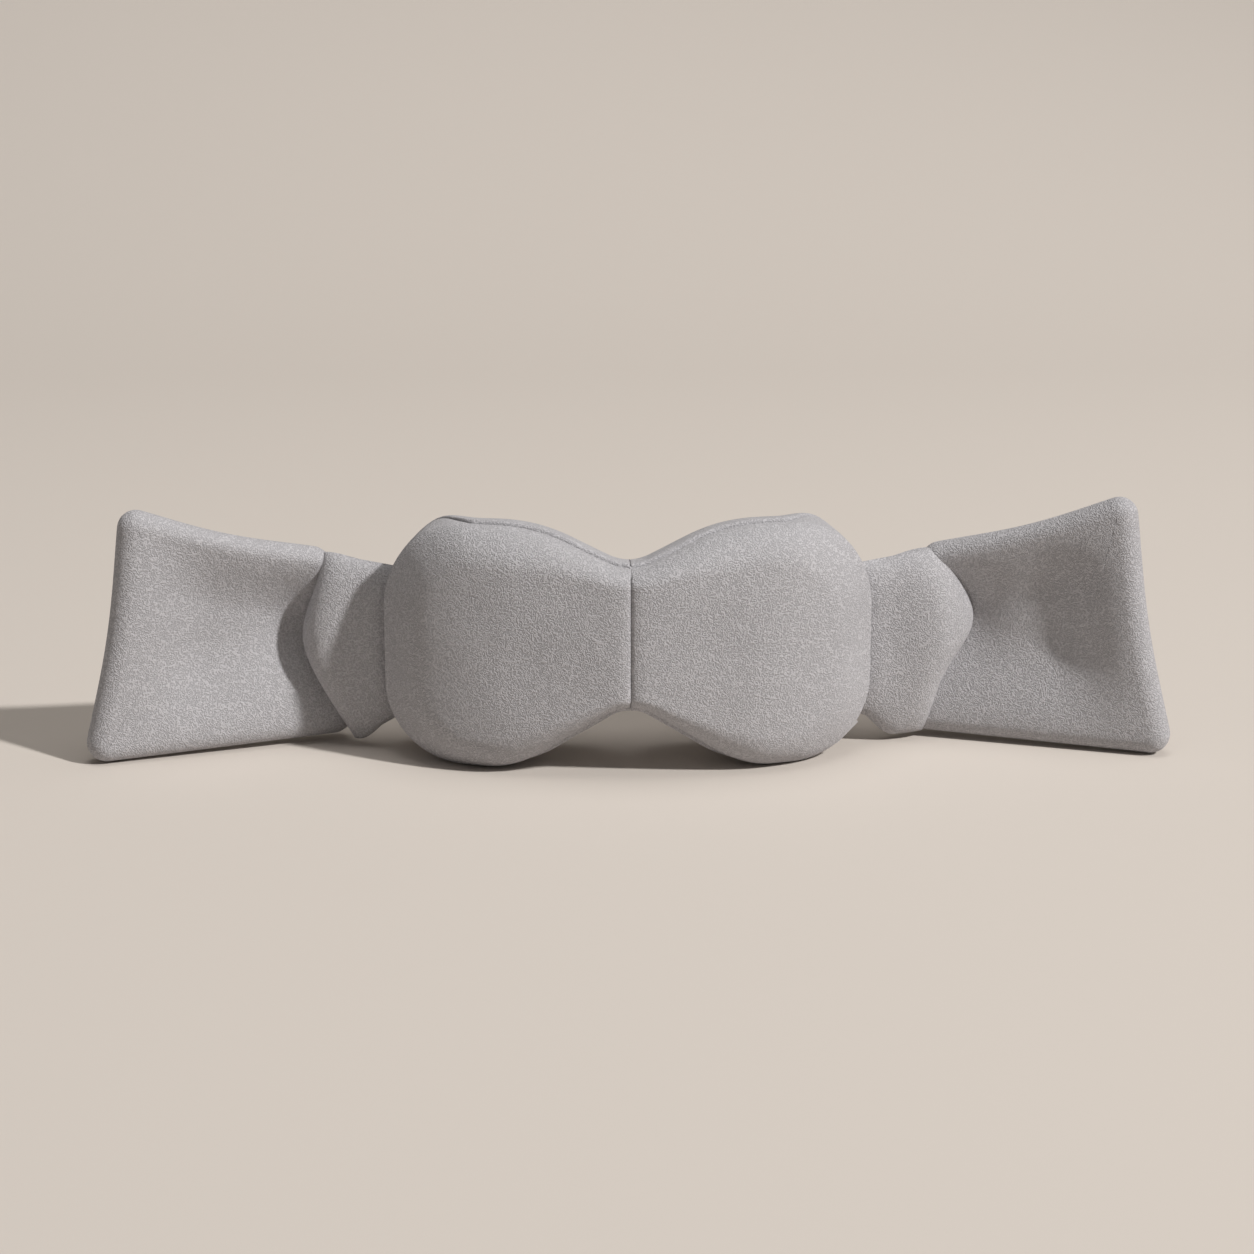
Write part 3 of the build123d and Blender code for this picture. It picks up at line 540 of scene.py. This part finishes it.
def add_texture(tree, kind, inputs):
    """A texture in the object's own coordinates."""
    coordinates = add_node(tree, "ShaderNodeTexCoord")
    texture = add_node(tree, kind, inputs)
    link(tree, coordinates.outputs["Object"], texture.inputs["Vector"])
    return texture


def add_bump(tree, shader, height, strength, distance, invert=False):
    """Fine relief from a height output."""
    bump = add_node(tree, "ShaderNodeBump", {"Strength": strength, "Distance": distance}, invert=invert)
    link(tree, height, bump.inputs["Height"])
    link(tree, bump.outputs["Normal"], shader.inputs["Normal"])


def add_tones(tree, shader, low, high, factor):
    """A base colour between two tones."""
    mix = add_node(tree, "ShaderNodeMix", data_type="RGBA")
    mix.inputs["A"].default_value = (*low, 1)
    mix.inputs["B"].default_value = (*high, 1)
    link(tree, factor, mix.inputs["Factor"])
    link(tree, mix.outputs["Result"], shader.inputs["Base Color"])


def plush_material(name, colour, dark):
    """Short looped plush: worm-like loops a millimetre or two apart, fine fuzz, slow mottling, and painted
    shade that darkens the hollows between the loops.
    """
    material, tree, shader = new_material(name)
    loops = add_texture(tree, "ShaderNodeTexNoise", {"Scale": 520, "Detail": 1.5, "Roughness": 0.5})
    stretch = add_node(tree, "ShaderNodeMath", {1: 30}, operation="MULTIPLY")
    link(tree, loops.outputs["Fac"], stretch.inputs[0])
    worm = add_node(tree, "ShaderNodeMath", operation="SINE")
    link(tree, stretch.outputs[0], worm.inputs[0])
    height = add_node(tree, "ShaderNodeMapRange", {"From Min": -1})
    link(tree, worm.outputs[0], height.inputs["Value"])
    fuzz = add_texture(tree, "ShaderNodeTexNoise", {"Scale": 2600, "Detail": 3})
    fuzzy = add_node(tree, "ShaderNodeMath", {1: 0.6}, operation="MULTIPLY_ADD")
    link(tree, fuzz.outputs["Fac"], fuzzy.inputs[0])
    link(tree, height.outputs[0], fuzzy.inputs[2])
    add_bump(tree, shader, fuzzy.outputs[0], 0.55, 0.0006)
    mottle = add_texture(tree, "ShaderNodeTexNoise", {"Scale": 22, "Detail": 3})
    # The colour follows slow mottling and the loops' height, so the hollows between the loops carry painted
    # shade.
    mottle_and_loop_shade = add_node(tree, "ShaderNodeMath", {1: 0.35}, operation="MULTIPLY_ADD")
    link(tree, mottle.outputs["Fac"], mottle_and_loop_shade.inputs[0])
    link(tree, height.outputs[0], mottle_and_loop_shade.inputs[2])
    tone = add_node(tree, "ShaderNodeMapRange", {"From Min": 0.0, "From Max": 1.3})
    link(tree, mottle_and_loop_shade.outputs[0], tone.inputs["Value"])
    add_tones(tree, shader, dark, colour, tone.outputs[0])
    shader.inputs["Roughness"].default_value = 0.95
    shader.inputs["Specular IOR Level"].default_value = 0.15
    shader.inputs["Sheen Weight"].default_value = 0.22
    shader.inputs["Sheen Roughness"].default_value = 0.5
    shader.inputs["Sheen Tint"].default_value = (0.9, 0.88, 0.9, 1)
    return material


def plastic_material(name, colour, rough, grain=900.0, bump_height=0.00004):
    """Moulded plastic or rubber with a fine texture and slight tone changes."""
    material, tree, shader = new_material(name)
    texture = add_texture(tree, "ShaderNodeTexNoise", {"Scale": grain, "Detail": 4})
    add_bump(tree, shader, texture.outputs["Fac"], 0.3, bump_height)
    add_tones(tree, shader, [c * 0.85 for c in colour], colour, texture.outputs["Fac"])
    shader.inputs["Roughness"].default_value = rough
    return material


def hook_material(name, colour, dark):
    """Hook tape: a dense field of small hooks, with painted shade darkening the hollows between them."""
    material, tree, shader = new_material(name)
    cells = add_texture(tree, "ShaderNodeTexVoronoi", {"Scale": 900})
    add_bump(tree, shader, cells.outputs["Distance"], 0.8, 0.0005, invert=True)
    # The colour darkens away from each hook's centre: painted shade between the hooks.
    add_tones(tree, shader, colour, dark, cells.outputs["Distance"])
    shader.inputs["Roughness"].default_value = 0.55
    return material


def metal_material(name, colour, rough):
    """Plated metal with a very fine grain."""
    material = plastic_material(name, colour, rough, 2200.0, 0.00002)
    material.node_tree.nodes["Principled BSDF"].inputs["Metallic"].default_value = 1.0
    return material


def paint(obj, material):
    """Give an object one material."""
    obj.data.materials.clear()
    obj.data.materials.append(material)


PLUSH = plush_material("plush", (0.535, 0.525, 0.545), (0.34, 0.333, 0.348))


def dress(obj, material):
    paint(obj, material)


def across(origin, angle, span, side_name):
    """Two points on a line through a joint, at the given distances along it and 50 mm up."""
    ends = to_world(np.array(span, float), np.array([50.0, 50.0]), np.zeros(2), origin, angle,
                    SIDES[side_name])
    return tuple(map(tuple, ends.tolist()))


for side_name in SIDES:
    lobe = make_lobe(side_name)
    for kind, obj in lobe.items():
        dress(obj, PLUSH)
        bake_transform(obj)
    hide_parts(f"{side_name}_front_cover", f"{side_name}_front_foam")
    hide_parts(f"{side_name}_rear_cover", f"{side_name}_eye_cushion", f"{side_name}_eye_pad")

    neck = make_neck(side_name)
    dress(neck, PLUSH)
    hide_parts(f"{side_name}_neck_cover", f"{side_name}_neck_padding")
    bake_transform(neck)

    wing = make_wing(side_name)
    dress(wing, PLUSH)
    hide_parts(f"{side_name}_wing_front_panel", f"{side_name}_wing_back_panel",
                f"{side_name}_wing_padding")
    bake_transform(wing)

MATERIALS = {
    "hook": hook_material("hook", (0.42, 0.41, 0.42), (0.30, 0.29, 0.30)),
    "shell": plastic_material("shell", (0.50, 0.49, 0.50), 0.45),
    "button": plastic_material("button", (0.62, 0.61, 0.62), 0.5, 1400.0),
    "lens": plastic_material("lens", (0.80, 0.82, 0.80), 0.25),
    "silicone": plastic_material("silicone", (0.38, 0.375, 0.38), 0.6, 700.0),
    "port": metal_material("port", (0.62, 0.62, 0.63), 0.3),
    "steel": metal_material("steel", (0.60, 0.60, 0.61), 0.35),
    "brass": metal_material("brass", (0.52, 0.45, 0.30), 0.4),
    "film": plastic_material("film", (0.55, 0.27, 0.06), 0.3, 300.0),
    "tray": plastic_material("tray", (0.72, 0.72, 0.70), 0.5),
    "rubber": plastic_material("rubber", (0.06, 0.06, 0.065), 0.7, 600.0, 0.00008),
    "board": plastic_material("board", (0.03, 0.16, 0.08), 0.4),
    "chip": plastic_material("chip", (0.04, 0.04, 0.045), 0.5),
    "battery": plastic_material("battery", (0.30, 0.36, 0.44), 0.35, 250.0),
    "webbing": plush_material("webbing", (0.12, 0.12, 0.125), (0.07, 0.07, 0.075)),
}
LOOKS = {"hook_patch": "hook", "control_housing": "shell", "power_button": "button", "status_light": "lens",
         "port_cover": "silicone", "usb_port": "port", "bridge_strip": "rubber", "bridge_ribbon": "film",
         "left_battery_cell": "battery", "control_board": "board", "button_board": "board",
         "board_parts": "chip", "tact_switch": "chip"}
for side_name in SIDES:
    for part, look in (("heater_film", "film"), ("core_tray", "tray"), ("core_lid", "tray"),
                       ("case_screws", "steel"), ("thermistor", "chip"), ("motor_can", "steel"),
                       ("motor_boot", "rubber"), ("motor_shaft", "steel"), ("motor_weight", "brass"),
                       ("neck_webbing", "webbing")):
        LOOKS[f"{side_name}_{part}"] = look
for node, look in LOOKS.items():
    for slot in bpy.data.objects[node].material_slots:
        slot.material = MATERIALS[look]

tape = make_seam_tape()
dress(tape, PLUSH)
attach(tape, "bridge")
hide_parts("nose_gusset")

# ------------------------------------------------------------------ studio
BACKDROP = (0.635, 0.583, 0.535)


def make_stage():
    """A pale seamless sweep: floor, curve and back wall."""
    radius, back, width, height = 1.8, 1.0, 9.0, 5.0
    profile = [(-3.0, 0.0), (back, 0.0)]
    for k in range(1, 25):
        a = math.pi / 2 * k / 24
        profile.append((back + radius * math.sin(a), radius * (1 - math.cos(a))))
    profile.append((back + radius, height))
    points = [(x, y, z) for y, z in profile for x in (-width / 2, width / 2)]
    faces = [(2 * i, 2 * i + 1, 2 * i + 3, 2 * i + 2) for i in range(len(profile) - 1)]
    stage = make_mesh("stage_sweep", points, faces)
    material, _, shader = new_material("sweep")
    shader.inputs["Base Color"].default_value = (*BACKDROP, 1)
    shader.inputs["Roughness"].default_value = 0.9
    shader.inputs["Specular IOR Level"].default_value = 0.1
    paint(stage, material)


def aim(obj, target):
    """Turn a light or camera to look at a point."""
    obj.rotation_euler = (Vector(target) - obj.location).to_track_quat("-Z", "Y").to_euler()


def place_from(azimuth, elevation, distance, target=(0, 0, 0)):
    """A place seen from the target at this azimuth, 0 in front and + to the right, and elevation."""
    a, e = math.radians(azimuth), math.radians(elevation)
    away = Vector((math.sin(a) * math.cos(e), -math.cos(a) * math.cos(e), math.sin(e)))
    return Vector(target) + away * distance


def add_area(name, place, target, size, power, colour):
    """A round soft light."""
    light = bpy.data.lights.new(name, "AREA")
    light.shape = "DISK"
    light.size = size
    light.energy = power
    light.color = colour
    obj = bpy.data.objects.new(name, light)
    obj.location = place
    bpy.context.scene.collection.objects.link(obj)
    aim(obj, target)


def add_key(place, target, spread, soft, power, colour):
    """One fairly hard key light whose pool fades gently towards the corners."""
    light = bpy.data.lights.new("key", "SPOT")
    light.spot_size = spread
    light.spot_blend = 1.0
    light.shadow_soft_size = soft
    light.energy = power
    light.color = colour
    obj = bpy.data.objects.new("key", light)
    obj.location = place
    bpy.context.scene.collection.objects.link(obj)
    aim(obj, target)


def add_camera():
    """Front view from a little above and a touch to the left, through a long lens."""
    target = Vector((-0.0007, 0.0, 0.0618))
    camera = bpy.data.objects.new("camera", bpy.data.cameras.new("camera"))
    camera.data.sensor_width = 36
    camera.data.lens = 85
    camera.location = place_from(-1.7, 15, 1.34, target)
    bpy.context.scene.collection.objects.link(camera)
    aim(camera, target)
    bpy.context.scene.camera = camera


make_stage()
add_key(place_from(57, 40, 10.0), (0.15, 0.35, 0.05), math.radians(32), 0.3, 3900, (1.0, 0.985, 0.965))
add_area("overhead", (0.1, -0.1, 3.0), (0, 0, 0), 2.0, 26, (1.0, 0.97, 0.93))
add_camera()

world = bpy.data.worlds.new("world")
world.use_nodes = True
world.node_tree.nodes["Background"].inputs["Color"].default_value = (1.0, 0.985, 0.965, 1)
world.node_tree.nodes["Background"].inputs["Strength"].default_value = 0.13
bpy.context.scene.world = world
bpy.context.scene.view_settings.view_transform = "Standard"
